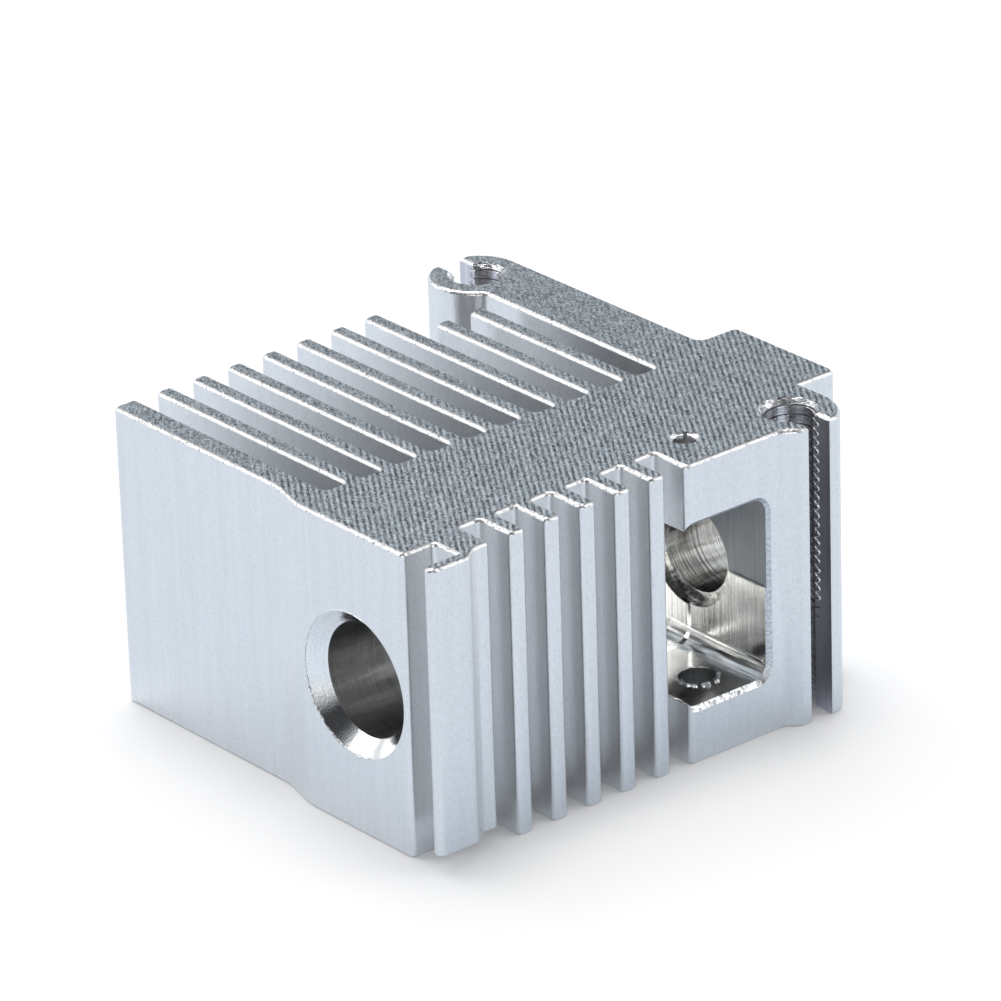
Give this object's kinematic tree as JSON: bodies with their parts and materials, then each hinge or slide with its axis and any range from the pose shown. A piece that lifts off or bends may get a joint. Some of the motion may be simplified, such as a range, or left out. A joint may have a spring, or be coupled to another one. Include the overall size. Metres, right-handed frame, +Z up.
{
  "type": "hotend heat sink",
  "caption": "Finned aluminium extrusion with a through bore for a heat break, a milled gear pocket across it and slotted screw ports.",
  "frame": {"origin": "centre of the box round the part, on its base", "axes": "+Z up along the extrusion, +X along the heat break bore from its countersunk mouth inwards, +Y from the front fins to the long rear fins"},
  "size_m": [0.0298, 0.0284, 0.0163],
  "materials": {
    "aluminium": "satin"
  },
  "bodies": {
    "root": {"heat_sink": "aluminium"}
  },
  "joints": []
}
